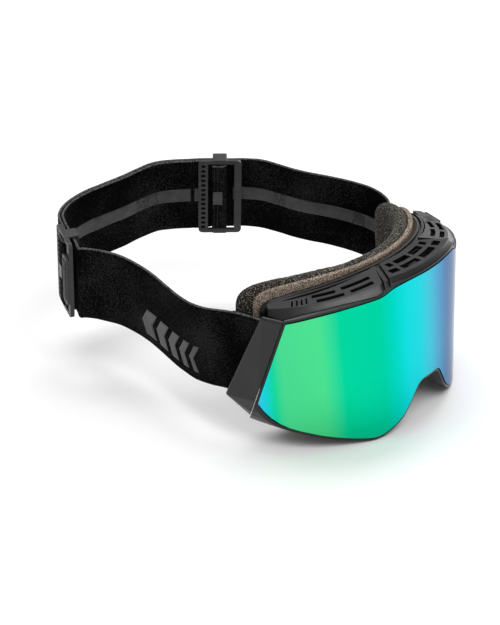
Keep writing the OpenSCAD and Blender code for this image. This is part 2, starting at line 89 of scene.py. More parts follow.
def piece(name, points, faces, material, smooth=True):
    """A mesh object from points in metres, with every face turned outwards."""
    mesh = bpy.data.meshes.new(name)
    mesh.from_pydata([tuple(p) for p in points], [], [tuple(f) for f in faces])
    mesh.validate()
    turned = bmesh.new()
    turned.from_mesh(mesh)
    bmesh.ops.recalc_face_normals(turned, faces=turned.faces)
    turned.to_mesh(mesh)
    turned.free()
    mesh.polygons.foreach_set("use_smooth", [smooth] * len(mesh.polygons))
    mesh.materials.append(material)
    obj = bpy.data.objects.new(name, mesh)
    bpy.context.scene.collection.objects.link(obj)
    return obj


def grid_faces(rows, columns, closed_rows=False, closed_columns=True):
    """Quads over a grid of points, row by row."""
    faces = []
    for i in range(rows if closed_rows else rows - 1):
        for k in range(columns if closed_columns else columns - 1):
            a, b = i * columns + k, i * columns + (k + 1) % columns
            c = ((i + 1) % rows) * columns
            faces.append((a, c + k, c + (k + 1) % columns, b))
    return faces


def plate_faces(rows, columns, base=0):
    """Two grids of points, one over the other, closed round their rim. Base is the first point."""
    n = rows * columns
    faces = []
    for f in grid_faces(rows, columns, closed_columns=False):
        faces += [f, tuple(v + n for v in f[::-1])]
    rim = [i * columns for i in range(rows)] \
        + [(rows - 1) * columns + k for k in range(1, columns)] \
        + [i * columns + columns - 1 for i in range(rows - 2, -1, -1)] \
        + list(range(columns - 2, 0, -1))
    faces += [(a, c, c + n, a + n) for a, c in zip(rim, rim[1:] + rim[:1])]
    return [tuple(base + v for v in f) for f in faces]


def noise3(points, size, seed):
    """Smooth value noise of a given feature size over points, from -1 to 1."""
    table = np.random.default_rng(seed).uniform(-1, 1, (32, 32, 32))
    q = np.asarray(points, float) / size
    base = np.floor(q).astype(int)
    f = q - base
    f = f * f * (3 - 2 * f)
    total = np.zeros(q.shape[:-1])
    for corner in np.ndindex(2, 2, 2):
        index = (base + corner) % 32
        weight = np.prod(np.where(np.array(corner) == 1, f, 1 - f), axis=-1)
        total += weight * table[index[..., 0], index[..., 1], index[..., 2]]
    return total


# ---------- materials ----------
class Surface:
    """A procedural material with one Principled shader, built up node by node."""

    def __init__(self, name, colour, roughness, **inputs):
        self.material = bpy.data.materials.new(name)
        self.material.use_nodes = True
        self.tree = self.material.node_tree
        self.shader = self.tree.nodes["Principled BSDF"]
        self.shader.inputs["Base Color"].default_value = (*colour, 1)
        self.shader.inputs["Roughness"].default_value = roughness
        for key, value in inputs.items():
            self.shader.inputs[key.replace("_", " ")].default_value = value
        self.height = None

    def node(self, kind, settings=None, **inputs):
        """Adds a node; an input's value is a number, a tuple or another node's socket."""
        made = self.tree.nodes.new(kind)
        for key, value in (settings or {}).items():
            setattr(made, key, value)
        for key, value in inputs.items():
            by_number = key[1:].isdigit()
            socket = made.inputs[int(key[1:]) if by_number else key.replace("_", " ")]
            if isinstance(value, bpy.types.NodeSocket):
                self.tree.links.new(value, socket)
            else:
                socket.default_value = value
        return made

    def place(self, attribute=None):
        """Where a point is: in the frame, or along and across a band."""
        if attribute:
            return self.node("ShaderNodeAttribute", {"attribute_name": attribute}).outputs["Vector"]
        return self.node("ShaderNodeTexCoord").outputs["Object"]

    def noise(self, size, detail=2.0, vector=None):
        """Noise with features of a size in metres."""
        vector = vector or self.place()
        made = self.node("ShaderNodeTexNoise", None, Vector=vector, Scale=1 / size, Detail=detail)
        return made.outputs["Fac"]

    def maths(self, operation, a, b=0.0):
        return self.node("ShaderNodeMath", {"operation": operation}, _0=a, _1=b).outputs[0]

    def ramp(self, factor, stops, mode="LINEAR"):
        made = self.node("ShaderNodeValToRGB", None, Fac=factor)
        made.color_ramp.interpolation = mode
        band = made.color_ramp.elements
        while len(band) < len(stops):
            band.new(0.5)
        for element, (position, colour) in zip(band, stops):
            element.position = position
            element.color = (*colour, 1)
        return made.outputs["Color"]

    def colour(self, socket):
        self.tree.links.new(socket, self.shader.inputs["Base Color"])

    def roughness(self, factor, low, high):
        made = self.node("ShaderNodeMapRange", None, Value=factor, To_Min=low, To_Max=high)
        self.tree.links.new(made.outputs["Result"], self.shader.inputs["Roughness"])

    def bump(self, height, depth, strength=1.0):
        """Adds relief of a depth in metres, on top of what is there."""
        made = self.node("ShaderNodeBump", None, Height=height, Distance=depth, Strength=strength)
        if self.height:
            self.tree.links.new(self.height, made.inputs["Normal"])
        self.height = made.outputs["Normal"]
        self.tree.links.new(self.height, self.shader.inputs["Normal"])


def moulded(name, dark, light, roughness, grain=0.00025, depth=0.00002, **inputs):
    """Moulded plastic: a fine spark-eroded grain, faint flow clouds and uneven gloss."""
    s = Surface(name, dark, roughness, **{"Specular_IOR_Level": 0.32, **inputs})
    cloud = s.noise(0.012, 3.0)
    s.colour(s.ramp(cloud, [(0.3, dark), (0.7, light)]))
    s.roughness(s.noise(0.004, 4.0), roughness - 0.06, roughness + 0.08)
    s.bump(s.noise(grain, 1.0), depth, 0.7)
    return s.material


def speckled(name, stops, size, depth, roughness=0.95, sheen=0.0):
    """Foam or fleece: colour that changes from cell to cell, and a rough relief."""
    s = Surface(name, stops[0][1], roughness, Sheen_Weight=sheen, Specular_IOR_Level=0.1)
    fine = s.noise(size, 1.5)
    s.colour(s.ramp(fine, stops))
    s.bump(s.noise(size * 2.2, 2.0), depth * 1.5, 0.8)
    s.bump(fine, depth, 1.0)
    return s.material


def knitted(name, dark, middle, light, edge):
    """Elastic band: fine ribs along it, rows of stitches across it, lint, painted sheen in patches, and
    paler edges that are partly a painted highlight.
    """
    s = Surface(name, dark, 0.85, Specular_IOR_Level=0.03, Sheen_Weight=0.004, Sheen_Roughness=0.45)
    split = s.node("ShaderNodeSeparateXYZ", None, Vector=s.place("band"))
    along = s.maths("SINE", s.maths("MULTIPLY", split.outputs[0], 2 * math.pi / 0.0011))
    ribs = s.maths("SINE", s.maths("MULTIPLY", split.outputs[1], 2 * math.pi / 0.0014))
    knit = s.maths("MULTIPLY", along, ribs)
    lint = s.noise(0.0008, 2.0)
    # painted sheen: big soft lighter patches in the colour stand in for the sheen on the band
    patchy = s.noise(0.035, 2.0)
    patchy_sheen = s.maths("MULTIPLY", s.maths("SUBTRACT", patchy, 0.38), 0.55)
    body = s.ramp(s.maths("ADD", lint, patchy_sheen), [(0.44, dark), (0.56, middle), (0.7, light)])
    # the sewn edge catches the light: its last half millimetre is painted paler, partly paler yarn and
    # partly a painted highlight
    from_middle = s.maths("ABSOLUTE", split.outputs[1])
    share = s.node("ShaderNodeMapRange", {"interpolation_type": "SMOOTHSTEP"}, Value=from_middle,
                   From_Min=0.0240, From_Max=0.0246)
    edge_yarn_highlight = s.ramp(s.noise(0.0009, 2.0), [(0.35, light), (0.65, edge)])
    mix = s.node("ShaderNodeMix", {"data_type": "RGBA"}, _0=share.outputs["Result"], _6=body, _7=edge_yarn_highlight)
    s.colour(mix.outputs[2])
    s.bump(lint, 0.00018, 0.6)
    s.bump(knit, 0.00012, 0.8)
    return s.material


def silicone_line(name, dark, light, bare, gaps):
    """The grip line: smooth, but broken into small dots over each gap along it, in metres."""
    s = Surface(name, dark, 0.42, Specular_IOR_Level=0.35)
    split = s.node("ShaderNodeSeparateXYZ", None, Vector=s.place("band"))
    inside = None
    for start, end in gaps:
        past = s.maths("GREATER_THAN", split.outputs[0], start)
        before = s.maths("LESS_THAN", split.outputs[0], end)
        here = s.maths("MULTIPLY", past, before)
        inside = here if inside is None else s.maths("ADD", inside, here)
    dots = s.maths("GREATER_THAN", s.noise(0.0011, 0.0), 0.47)
    missing = s.maths("MULTIPLY", inside, dots)
    body = s.ramp(s.noise(0.006, 3.0), [(0.3, dark), (0.7, light)])
    mix = s.node("ShaderNodeMix", {"data_type": "RGBA"}, _0=missing, _6=body, _7=(*bare, 1))
    s.colour(mix.outputs[2])
    s.bump(s.noise(0.0006, 2.0), 0.00004, 0.6)
    return s.material


def mirror_lens(name):
    """Mirror coating whose hue runs round the lens, from the near side to the far side."""
    s = Surface(name, (0, 0.6, 0.35), 0.12, Metallic=1.0)
    s.shader.inputs["Specular Tint"].default_value = (0.6, 0.65, 0.72, 1)
    split = s.node("ShaderNodeSeparateXYZ", None, Vector=s.place())
    from_axis = s.maths("SUBTRACT", LENS_AXIS_Y, split.outputs[1])
    angle = s.maths("ARCTAN2", split.outputs[0], from_axis)
    # a low corner turns blue a little sooner than the rest of the edge
    tilt = s.maths("MULTIPLY", split.outputs[2], 0.9)
    share = s.node("ShaderNodeMapRange", None, Value=s.maths("ADD", angle, tilt))
    share.inputs["From Min"].default_value = math.radians(-75)
    share.inputs["From Max"].default_value = math.radians(75)
    stops = [(0.03, (0.07, 0.42, 0.78)), (0.052, (0.01, 0.6, 0.68)), (0.078, (0.006, 0.62, 0.31)),
             (0.1, (0.06, 0.63, 0.255)), (0.19, (0.062, 0.63, 0.24)), (0.24, (0.001, 0.56, 0.285)),
             (0.34, (0.0, 0.54, 0.31)), (0.38, (0.0, 0.58, 0.47)), (0.415, (0.005, 0.61, 0.63)),
             (0.46, (0.015, 0.6, 0.65)), (0.5, (0.06, 0.5, 0.63)), (0.54, (0.09, 0.35, 0.56)),
             (0.58, (0.09, 0.22, 0.42)), (0.62, (0.11, 0.18, 0.34)), (0.8, (0.09, 0.2, 0.42)),
             (0.92, (0.0, 0.5, 0.45))]
    s.colour(s.ramp(share.outputs["Result"], stops))
    return s.material


LENS_RADIUS = 95.5 * MM
LENS_AXIS_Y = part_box("outer_lens")[0].y + LENS_RADIUS
GRIP_GAPS_RIGHT = ((0.083, 0.095), (0.204, 0.221))      # the dotted stretches, along each line
GRIP_GAPS_LEFT = ((0.027, 0.036), (0.080, 0.088))

MATERIAL = {
    "frame": moulded("frame_plastic", (0.003,) * 3, (0.006,) * 3, 0.34, Specular_IOR_Level=0.42),
    "cover": moulded("cover_plastic", (0.0025,) * 3, (0.005,) * 3, 0.3, Specular_IOR_Level=0.42),
    "panel": moulded("panel_plastic", (0.006,) * 3, (0.01, 0.01, 0.0102), 0.36, Specular_IOR_Level=0.4),
    "plate": moulded("soft_plate", (0.002,) * 3, (0.004,) * 3, 0.42),
    "slider": moulded("slider_plastic", (0.022,) * 3, (0.032, 0.032, 0.0325), 0.42),
    "print": moulded("strap_print", (0.016,) * 3, (0.03,) * 3, 0.34, 0.0006, 0.00002,
                     Specular_IOR_Level=0.5),
    "gasket": speckled("gasket", [(0.4, (0.003,) * 3), (0.6, (0.01,) * 3)], 0.0004, 0.00008),
    "vent_foam": speckled("vent_foam", [(0.42, (0.001,) * 3), (0.58, (0.02,) * 3)], 0.0007, 0.0003),
    "foam_base": speckled("foam_base", [(0.4, (0.008, 0.006, 0.004)), (0.52, (0.03, 0.021, 0.015)),
                                        (0.62, (0.075, 0.054, 0.04))], 0.0006, 0.00015),
    "foam_middle": speckled("foam_middle", [(0.38, (0.07, 0.053, 0.04)), (0.5, (0.18, 0.14, 0.11)),
                                            (0.63, (0.38, 0.315, 0.26))], 0.0007, 0.0002),
    "fleece": speckled("foam_fleece", [(0.38, (0.006, 0.0052, 0.004)), (0.5, (0.024, 0.021, 0.0165)),
                                       (0.58, (0.065, 0.059, 0.048)), (0.66, (0.19, 0.175, 0.15))],
                       0.00085, 0.0003, sheen=0.05),
    "strap": knitted("strap_knit", (0.0002,) * 3, (0.001,) * 3, (0.018,) * 3, (0.13,) * 3),
    "grip_right": silicone_line("silicone_right", (0.02,) * 3, (0.04,) * 3, (0.003,) * 3,
                                GRIP_GAPS_RIGHT),
    "grip_left": silicone_line("silicone_left", (0.02,) * 3, (0.04,) * 3, (0.003,) * 3, GRIP_GAPS_LEFT),
    "lens": mirror_lens("mirror_lens"),
    "magnet": moulded("magnet", (0.5, 0.5, 0.51), (0.6, 0.6, 0.61), 0.3, Metallic=1.0),
    "screw": moulded("screw", (0.12, 0.12, 0.125), (0.18, 0.18, 0.185), 0.35, Metallic=1.0),
}


def clear_lens():
    s = Surface("clear_lens", (0.8, 0.9, 0.88), 0.02, Transmission_Weight=1.0, IOR=1.58)
    # a faint unevenness of the moulding
    s.roughness(s.noise(0.03, 1.0), 0.01, 0.03)
    return s.material


MATERIAL["clear"] = clear_lens()

# ---------- the CAD nodes that stay ----------
FINISH = {
    "frame": ("frame_chassis", "strap_anchor_right", "strap_anchor_left"),
    "cover": ("brow_visor", "brow_cover_right", "brow_cover_left"),
    "panel": ("side_panel_right", "side_panel_left", "brow_gusset_right", "brow_gusset_left"),
    "plate": ("face_plate", "nose_bridge"),
    "slider": ("rear_slider", "rear_slider_tab", "side_slider", "side_slider_tab"),
    "gasket": ("lens_gasket",),
    "magnet": ("frame_magnets", "lens_magnets"),
    "screw": ("anchor_screws",),
    "lens": ("outer_lens",),
    "clear": ("inner_lens",),
}
BEVELLED = ("frame", "cover", "panel", "plate", "slider")
BEVEL_W, WELD_BEFORE, WELD_AFTER = 0.22 * MM, 0.01 * MM, 0.004 * MM
TOO_FINE = ("face_plate", "side_panel_right", "side_panel_left")     # no room for a bevel
for finish, nodes in FINISH.items():
    for name in nodes:
        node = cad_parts[name]
        node.data.materials.clear()
        node.data.materials.append(MATERIAL[finish])
        if finish in BEVELLED and name not in TOO_FINE:
            joined = node.modifiers.new("joined", "WELD")
            joined.merge_threshold = WELD_BEFORE
            eased = node.modifiers.new("eased_edges", "BEVEL")
            eased.width, eased.segments = BEVEL_W, 2
            eased.limit_method, eased.angle_limit = "ANGLE", math.radians(32)
            closed = node.modifiers.new("closed", "WELD")
            closed.merge_threshold = WELD_AFTER


# ---------- band routes, as the frame's own strap lies ----------
RISE, RISE_FROM, RISE_TO = 0.1, 75.0, 135.0
STRAP_Z, STRAP_H, STRAP_T, LAYER = 54.5, 50.0, 1.6, 1.1
SIDE_MID, SIDE_DIR = np.array([-63.5, 215.0]), unit([0.58, 0.81])
REAR_MID, REAR_DIR = np.array([60.5, 194.0]), unit([0.6, -0.8])
AHEAD = (-16, -8, 8, 16)
ROUTE_A = [(-83.2, 59), (-83.2, 67), (-83.2, 75), (-83.8, 83), (-84.2, 96), (-82.4, 109),
           (-78.2, 122), (-73.2, 136), (-68.4, 150), (-65.4, 163), (-64.4, 176), (-66.4, 188),
           (-70.4, 198)]
ROUTE_B = [(-48, 234.5), (-37, 238.4), (-23, 238.6), (-8, 235), (8, 230.4), (23, 227.4),
           (34, 223.4), (42, 216.6)]
ROUTE_C = [(74.8, 171.6), (76.6, 160), (78.2, 147), (81.6, 134), (86.8, 123), (92.4, 113.5),
           (96.4, 105.8), (97.6, 98.4), (95.6, 91.8), (91, 86.4), (86.5, 81.8), (83.8, 77),
           (83.2, 72), (83.2, 67), (83.2, 59)]
ROUTE = np.array(ROUTE_A + [tuple(SIDE_MID + d * SIDE_DIR) for d in AHEAD] + ROUTE_B
                 + [tuple(REAR_MID + d * REAR_DIR) for d in AHEAD] + ROUTE_C, float)
SIDE_I = len(ROUTE_A) + 1
REAR_I = len(ROUTE_A) + 4 + len(ROUTE_B) + 1
STEPS = 10


def band_up(p):
    w = ramp((p[..., 1] - RISE_FROM) / (RISE_TO - RISE_FROM)) * RISE
    return unit(np.stack([-w, -w, np.ones_like(w)], -1))


def band_z(p):
    w = ramp((p[..., 1] - RISE_FROM) / (RISE_TO - RISE_FROM)) * RISE
    return STRAP_Z + w * (p[..., 0] + p[..., 1] - RISE_FROM)


def smooth_route(first, last):
    """The curve through control points first to last, and each point's control index."""
    points, places = [], []
    m = len(ROUTE) - 1
    for i in range(first, last):
        a, b, c, d = (ROUTE[min(max(k, 0), m)] for k in (i - 1, i, i + 1, i + 2))
        for k in range(STEPS):
            t = k / STEPS
            points.append(0.5 * (2 * b + (c - a) * t + (2 * a - 5 * b + 4 * c - d) * t * t
                                 + (3 * b - a - 3 * c + d) * t ** 3))
            places.append(i + t)
    points.append(ROUTE[last])
    places.append(float(last))
    return np.array(points), np.array(places)


def directions(p):
    """Along, outwards and up at each point of a plan route."""
    heading = np.empty_like(p)
    heading[1:-1] = p[2:] - p[:-2]
    heading[0], heading[-1] = p[1] - p[0], p[-1] - p[-2]
    heading = unit(heading)
    up = band_up(p)
    drop = -(up[:, 0] * heading[:, 0] + up[:, 1] * heading[:, 1]) / up[:, 2]
    along = unit(np.column_stack([heading, drop]))
    return along, unit(np.cross(up, along)), up


def band_profile(height=STRAP_H, thickness=STRAP_T, selvedge=1.5, across=30):
    """Half-round edges, a sewn selvedge beside a shallow groove, and flat faces.
    Each point is (across, outwards), and the loop starts at the bottom inside."""
    h, t = height / 2, thickness / 2
    face = [-h + t, -h + selvedge * 0.8, -h + selvedge, -h + selvedge * 1.35]
    face = face + list(np.linspace(-h + 2.4 * selvedge, h - 2.4 * selvedge, across)) \
        + [-v for v in reversed(face)]
    depth = [t * (0.99 if abs(v) > h - selvedge * 0.7 else 0.7 if abs(v) > h - selvedge * 1.1
                  else 0.93) for v in face]
    outer = [(v, d) for v, d in zip(face, depth)]
    inner = [(v, -d) for v, d in zip(reversed(face), reversed(depth))]
    turn = np.radians([60, 30, 0, -30, -60])
    top = [(h - t + t * math.cos(a), t * math.sin(a)) for a in turn]
    return outer + top + inner + [(-v, -d) for v, d in top]


def band_line(route, offset):
    """A band's along, outward and up directions, its middle, and the length up to each point."""
    along, out, up = directions(route)
    centre = np.column_stack([route, band_z(route)]) + offset[:, None] * out
    return along, out, up, centre, length_along(centre)


def length_along(points):
    return np.concatenate([[0], np.cumsum(np.linalg.norm(np.diff(points, axis=0), axis=1))])


def mark_band(obj, length, profile):
    """Stores where each point lies along, across and through a band, for its material."""
    facts = np.zeros((len(length), len(profile), 3))
    facts[..., 0] = length[:, None] * MM
    facts[..., 1:] = profile[None] * MM
    data = obj.data.attributes.new("band", "FLOAT_VECTOR", "POINT").data
    data.foreach_set("vector", facts.ravel())


def band_mesh(name, route, offset, profile, material, stagger=None, waviness=0.0, caps=True):
    """A band along a plan route; offset says how far outwards each section lies."""
    along, out, up, centre, length = band_line(route, offset)
    profile = np.array(profile)
    v, w = profile[:, 0], profile[:, 1]
    points = centre[:, None] + w[None, :, None] * out[:, None] + v[None, :, None] * up[:, None]
    if waviness:
        reach = (np.abs(v) / np.abs(v).max())[None, :, None] ** 3
        edge = noise3(centre[:, None] + up[:, None] * v[None, :, None], 9.0, 3)[..., None]
        points = points + waviness * reach * edge * np.sign(v)[None, :, None] * up[:, None]
    if stagger is not None:
        points[..., 1] -= stagger[:, None] * v[None, :] / (STRAP_H / 2)
    rows, columns = points.shape[:2]
    faces = grid_faces(rows, columns)
    if caps:
        faces = faces + [tuple(range(columns)),
                         tuple(range((rows - 1) * columns, rows * columns))[::-1]]
    obj = piece(name, placed(points.reshape(-1, 3)), faces, material)
    mark_band(obj, length, profile)
    return obj


def layer_offset(count, from_start):
    """A half band leaves the route's middle for its own side of the stack."""
    i = np.arange(count) * 4 / STEPS
    return -LAYER * ramp((i - 20) / 20) if from_start else LAYER * ramp((i[::-1] - 20) / 16)


END_SKEW, SKEW_FADE = 11.0, 9.0


def strap_bands():
    near, _ = smooth_route(1, REAR_I - 1)
    far, _ = smooth_route(SIDE_I + 2, len(ROUTE) - 2)
    i = np.arange(len(near)) * 4 / STEPS
    k = np.arange(len(far))[::-1] * 4 / STEPS
    profile = band_profile()
    near_off, far_off = layer_offset(len(near), True), layer_offset(len(far), False)
    right = band_mesh("strap_right_band", near, near_off, profile,
                      MATERIAL["strap"], END_SKEW * (1 - ramp(i / SKEW_FADE)), 0.25)
    left = band_mesh("strap_left_band", far, far_off, profile,
                     MATERIAL["strap"], END_SKEW * (1 - ramp(k / SKEW_FADE)), 0.25)
    for band, node in ((right, "strap_right"), (left, "strap_left")):
        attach(band, "frame")
        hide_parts(node)
    grip_line("grip_line_right", near, near_off, 4 * STEPS, len(near) - 2, "grip_right")
    grip_line("grip_line_left", far, far_off, (REAR_I - SIDE_I - 1) * STEPS, len(far) - 4 * STEPS,
              "grip_left")
    strap_print(near, near_off)


GRIP_H, GRIP_T = 9.0, 0.4


def grip_line(name, route, offset, first, last, node):
    """A silicone line on a band's inner face, with slightly uneven edges."""
    h, t = GRIP_H / 2, GRIP_T / 2
    profile = [(v, -t + 0.18) for v in np.linspace(-h, h, 12)] + [(h - 0.2, -t - 0.1)] \
        + [(v, -t - 0.15) for v in np.linspace(h - 0.5, -h + 0.5, 12)] + [(-h + 0.2, -t - 0.1)]
    part = slice(first, last)
    line = band_mesh(name, route[part], offset[part] - STRAP_T / 2, profile[::-1],
                     MATERIAL[node], None, 0.2)
    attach(line, "frame")
    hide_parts(node)


# Raised bars on the near side of the strap: start along the band, length, top and bottom.
PRINT_BARS = ((38.0, 4.0, -2.5, -19.5), (46.5, 5.5, -2.5, -19.5), (56.5, 7.0, -2.5, -19.5),
              (68.0, 8.5, -2.5, -19.5), (81.0, 10.0, -2.5, -19.5))
PRINT_LEAN, PRINT_T = 0.55, 0.35


def strap_print(route, offset):
    """A row of leaning chevron bars, moulded on the band's outer face."""
    along, out, up, centre, length = band_line(route, offset)
    points, faces = [], []
    for start, width, top, bottom in PRINT_BARS:
        rows, columns = 15, 9
        base = len(points)
        middle = (top + bottom) / 2
        for shell in (0, 1):
            for i in range(rows):
                v = top + (bottom - top) * i / (rows - 1)
                point_of = PRINT_LEAN * ((top - bottom) / 2 - abs(v - middle))
                for k in range(columns):
                    edge = min(i, rows - 1 - i, k, columns - 1 - k) == 0
                    s = start + width * k / (columns - 1) + point_of
                    at = np.array([np.interp(s, length, centre[:, c]) for c in range(3)])
                    o = unit([np.interp(s, length, out[:, c]) for c in range(3)])
                    u = unit([np.interp(s, length, up[:, c]) for c in range(3)])
                    lift = STRAP_T / 2 - 0.15 if shell == 0 else \
                        STRAP_T / 2 + PRINT_T * (0.45 if edge else 1.0)
                    points.append(at + lift * o + v * u)
        faces += plate_faces(rows, columns, base)
    bars = piece("strap_print", placed(points), faces, MATERIAL["print"], smooth=False)
    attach(bars, "frame")


# ---------- the folded ends ----------
PIN_AT, FOLD_R, TAIL = np.array([1.4, -3.25]), 2.15, -5.0
FOLD_FROM, FOLD_TO = -16.0, -6.5


def slider_frame(mid, heading, turned):
    """A slider's own axes, along the band, outwards and up, and its middle."""
    up = band_up(mid)
    along = unit([heading[0], heading[1], -(up[0] * heading[0] + up[1] * heading[1]) / up[2]])
    out = np.cross(up, along)
    sign = -1.0 if turned else 1.0
    return np.array([*mid, band_z(mid)]), sign * along, sign * out, up


def folded_end(name, node, body, mid, heading, turned):
    """The end of a half band: along its layer, round the slider's pin and back."""
    where, along, out, up = slider_frame(mid, heading, turned)
    path = [(x, -LAYER) for x in np.linspace(FOLD_FROM, PIN_AT[0], 30)]
    path += [(PIN_AT[0] + FOLD_R * math.sin(a), PIN_AT[1] + FOLD_R * math.cos(a))
             for a in np.linspace(0, math.pi, 16)[1:]]
    path += [(x, PIN_AT[1] - FOLD_R) for x in np.linspace(PIN_AT[0], TAIL, 12)[1:]]
    path = np.array(path)
    tangent = unit(np.gradient(path, axis=0))
    normal = np.column_stack([-tangent[:, 1], tangent[:, 0]])
    length = length_along(path)
    profile = np.array(band_profile())
    # the end is drawn in a little so that it goes through the slider's window
    narrow = 1 - 0.07 * ramp((length - 5.0) / 9.0)
    thin = np.ones(len(path)) - 0.55 * ramp((length - length[-1] + 1.2) / 1.2)
    flat = path[:, None] + (thin[:, None] * profile[None, :, 1])[..., None] * normal[:, None]
    across = narrow[:, None] * profile[None, :, 0]
    points = where + flat[..., :1] * along + flat[..., 1:] * out + across[..., None] * up
    rows, columns = points.shape[:2]
    faces = grid_faces(rows, columns) + [tuple(range(columns)),
                                         tuple(range((rows - 1) * columns, rows * columns))[::-1]]
    fold = piece(name, placed(points.reshape(-1, 3)), faces, MATERIAL["strap"])
    mark_band(fold, length, profile)
    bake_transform(fold)
    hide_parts(node)
    stitches(name + "_stitches", body, where, along, out, up)
    grip_patch(name + "_grip", body, where, along, out, up)
    start_of_pin = (path[:, 0] < LINE_END) & (path[:, 1] > FOLD_MIDDLE)
    grip_strip(name + "_line", path[start_of_pin], where, along, out, up)


LINE_END, FOLD_MIDDLE = -7.7, -2.0
STRIP_COLUMNS, PATCH_AT, PATCH_W = 9, -4.4, 6.0


def grip_strip(name, path, where, along, out, up):
    """The silicone line on the stretch of the end that still lies along the band."""
    strip = []
    for lift in (0.15, -0.25):
        for x, y in path:
            for z in np.linspace(-GRIP_H / 2, GRIP_H / 2, STRIP_COLUMNS):
                strip.append(where + x * along + (y - STRAP_T / 2 + lift) * out + z * up)
    line = piece(name, placed(strip), plate_faces(len(path), STRIP_COLUMNS), MATERIAL["print"])
    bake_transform(line)


def grip_patch(name, body, where, along, out, up):
    """The bit of silicone line that shows on the turned end, inside the slider's window."""
    h, rows, columns = GRIP_H / 2, 13, 11
    points = []
    for lift in (0.1, -0.25):
        for z in np.linspace(-h, h, rows):
            for x in np.linspace(PATCH_AT, PATCH_AT + PATCH_W, columns):
                ragged = 0.25 * math.sin(5.1 * x + 1.3 * z) * (abs(z) > h - 0.4)
                y = PIN_AT[1] - FOLD_R - STRAP_T / 2 + lift
                points.append(where + x * along + y * out + (z + ragged) * up)
    patch = piece(name, placed(points), plate_faces(rows, columns), MATERIAL["print"])
    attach(patch, body)


STITCH_FACES = ((0, 1, 2, 3), (7, 6, 5, 4), (0, 4, 5, 1), (1, 5, 6, 2), (2, 6, 7, 3), (3, 7, 4, 0))


def stitches(name, body, where, along, out, up):
    """Two rows of thread that sew the turned end down."""
    points, faces = [], []
    for x in (-3.6, -1.4):
        for z in np.arange(-22.0, 22.1, 2.0):
            base = len(points)
            for dx, dy, dz in ((-0.2, 0, -0.7), (0.2, 0, -0.7), (0.2, 0, 0.7), (-0.2, 0, 0.7),
                               (-0.12, -0.22, -0.5), (0.12, -0.22, -0.5), (0.12, -0.22, 0.5),
                               (-0.12, -0.22, 0.5)):
                y = PIN_AT[1] - FOLD_R - STRAP_T / 2 + 0.05
                points.append(where + (x + dx) * along + (y + dy) * out + (z + dz) * up)
            faces += [tuple(base + k for k in f) for f in STITCH_FACES]
    rows = piece(name, placed(points), faces, MATERIAL["plate"])
    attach(rows, body)


strap_bands()
folded_end("rear_folded_end", "rear_strap_end", "rear_slider", REAR_MID, REAR_DIR, False)
folded_end("side_folded_end", "side_strap_end", "side_slider", SIDE_MID, SIDE_DIR, True)


# ---------- face foam ----------
FACE_R, PLATE_Y, RIDGE_T = 95.0, 22.5, 1.4
FACE_CY = PLATE_Y + FACE_R
FOAM_BASE_T, FOAM_MIDDLE_T, FLEECE_T, FOAM_GAP = 2.2, 3.2, 8.5, 0.05
PLATE_W = 7.0
PLATE_HALF = [(0, 97.5), (30, 96.4), (52, 93.4), (68, 89.8), (79, 85), (78, 70), (77, 32), (73, 17),
              (62, 7.5), (42, 2.5), (27, 9.5), (14, 30), (0, 33)]
MIDDLE_HALF = [(0, 98.6), (30, 98.2), (56, 96.6), (73, 93.2), (80.8, 88.6), (82, 77), (80.6, 50),
               (79.2, 31), (75, 15.4), (63.2, 5.5), (42, 0.3), (25.6, 7.8), (12.6, 28.6), (0, 31)]
FLEECE_HALF = [(0, 97.4), (30, 97.4), (58, 96.8), (76, 94.2), (85.6, 89), (87.6, 77), (85.5, 50),
               (81.4, 31), (76.8, 14), (64.2, 3.6), (42, -1.6), (24.4, 6.4), (11.2, 27.4), (0, 29.4)]


def both_sides(half):
    half = np.array(half, float)
    return np.vstack([half, half[-2:0:-1] * [-1, 1]])


def closed_curve(half, step):
    """An outline with its corners rounded, as evenly spaced points in x and z."""
    p = both_sides(half)
    for _ in range(3):
        nxt = np.roll(p, -1, axis=0)
        p = np.stack([0.78 * p + 0.22 * nxt, 0.22 * p + 0.78 * nxt], 1).reshape(-1, 2)
    closed = np.vstack([p, p[:1]])
    length = np.concatenate([[0], np.cumsum(np.linalg.norm(np.diff(closed, axis=0), axis=1))])
    at = np.linspace(0, length[-1], int(length[-1] / step), endpoint=False)
    return np.column_stack([np.interp(at, length, closed[:, c]) for c in (0, 1)])


def settle(values, times):
    """Evens values out round a closed curve."""
    for _ in range(times):
        values = (np.roll(values, 1, axis=0) + 2 * values + np.roll(values, -1, axis=0)) / 4
    return values


def plate_line(step=0.8):
    """The face plate's outline, and the outward normal at each of its points."""
    p = closed_curve(PLATE_HALF, step)
    tangent = unit(settle(np.roll(p, -1, axis=0) - np.roll(p, 1, axis=0), 40))
    return p, np.column_stack([-tangent[:, 1], tangent[:, 0]])


def reach_to(line, normal, half):
    """How far out along each normal another outline lies."""
    rim = closed_curve(half, 0.8)
    a, b = rim, np.roll(rim, -1, axis=0)
    d = b - a
    reach = np.empty(len(line))
    for i, (p, n) in enumerate(zip(line, normal)):
        det = n[0] * d[:, 1] - n[1] * d[:, 0]
        det = np.where(np.abs(det) < 1e-9, 1e-9, det)
        q = a - p
        t = (q[:, 0] * d[:, 1] - q[:, 1] * d[:, 0]) / det
        u = (q[:, 0] * n[1] - q[:, 1] * n[0]) / det
        hits = t[(u >= 0) & (u <= 1) & (np.abs(t) < 20)]
        reach[i] = hits[np.argmin(np.abs(hits))] if len(hits) else 0.0
    return settle(reach, 10)


